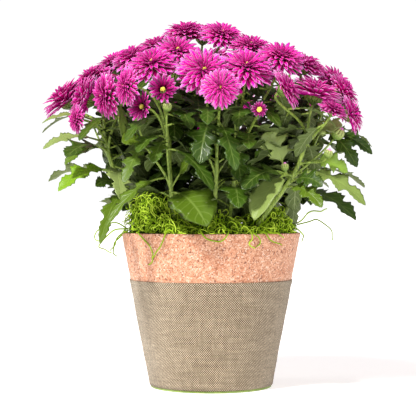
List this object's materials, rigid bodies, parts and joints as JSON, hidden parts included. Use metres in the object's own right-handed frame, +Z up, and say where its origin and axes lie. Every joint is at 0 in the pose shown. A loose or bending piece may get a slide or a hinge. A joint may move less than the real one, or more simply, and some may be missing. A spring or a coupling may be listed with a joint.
{
  "type": "potted chrysanthemum",
  "caption": "Magenta double chrysanthemum in a tapered round pot with a cork sleeve and a burlap band, with curly green moss over the soil.",
  "frame": {"origin": "middle of the pot's foot, on the surface that it stands on", "axes": "+Z up along the pot's axis, the pictured front faces -Y, +X to the right of that front"},
  "size_m": [0.3077, 0.2765, 0.348],
  "materials": {
    "liner": "satin",
    "cork": "matt cork",
    "burlap": "coarse plain weave",
    "soil": "loose and matt",
    "moss": "curly fibres",
    "foliage": "waxy leaf",
    "petals": "velvety petal"
  },
  "bodies": {
    "root": {"pot_liner": "liner", "cork_sleeve": "cork", "burlap_band": "burlap", "bloom_left_edge": "petals", "bloom_left_side": "petals", "bloom_left_low": "petals", "bloom_left_turned": "petals", "bloom_left_rise": "petals", "bloom_ridge_left": "petals", "bloom_ridge_mid_left": "petals", "bloom_ridge_peek": "petals", "bloom_left_inner": "petals", "bloom_front_left": "petals", "bloom_front_upper": "petals", "bloom_top_left": "petals", "bloom_top_mid": "petals", "bloom_top_right": "petals", "bloom_front_centre": "petals", "bloom_front_low": "petals", "bloom_front_right": "petals", "bloom_ridge_right": "petals", "bloom_right_upper": "petals", "bloom_right_turned": "petals", "bloom_right_fan": "petals", "bloom_right_half": "petals", "bloom_right_back_fan": "petals", "bloom_right_shoulder": "petals", "bloom_right_edge_upper": "petals", "bloom_right_edge": "petals", "bloom_back_a": "petals", "bloom_back_b": "petals", "bloom_back_c": "petals", "bloom_back_d": "petals", "bloom_back_e": "petals", "bloom_back_f": "petals", "bloom_back_g": "petals", "bloom_back_h": "petals", "bloom_back_i": "petals", "bloom_back_j": "petals", "bloom_back_k": "petals", "bloom_back_l": "petals", "bloom_back_m": "petals", "bloom_back_n": "petals", "bloom_cup_left": "petals", "bloom_cup_middle": "petals", "bloom_cup_right": "petals", "soil": "soil", "moss": "moss", "leafy_stem_front_left": "foliage", "leafy_stem_centre": "foliage", "leafy_stem_centre_right": "foliage", "leafy_stem_right": "foliage", "leafy_stem_right_side": "foliage", "leafy_stem_left": "foliage", "leafy_stem_heart": "foliage", "leafy_stem_back_left": "foliage", "leafy_stem_back": "foliage", "leafy_stem_back_right": "foliage"}
  },
  "joints": []
}
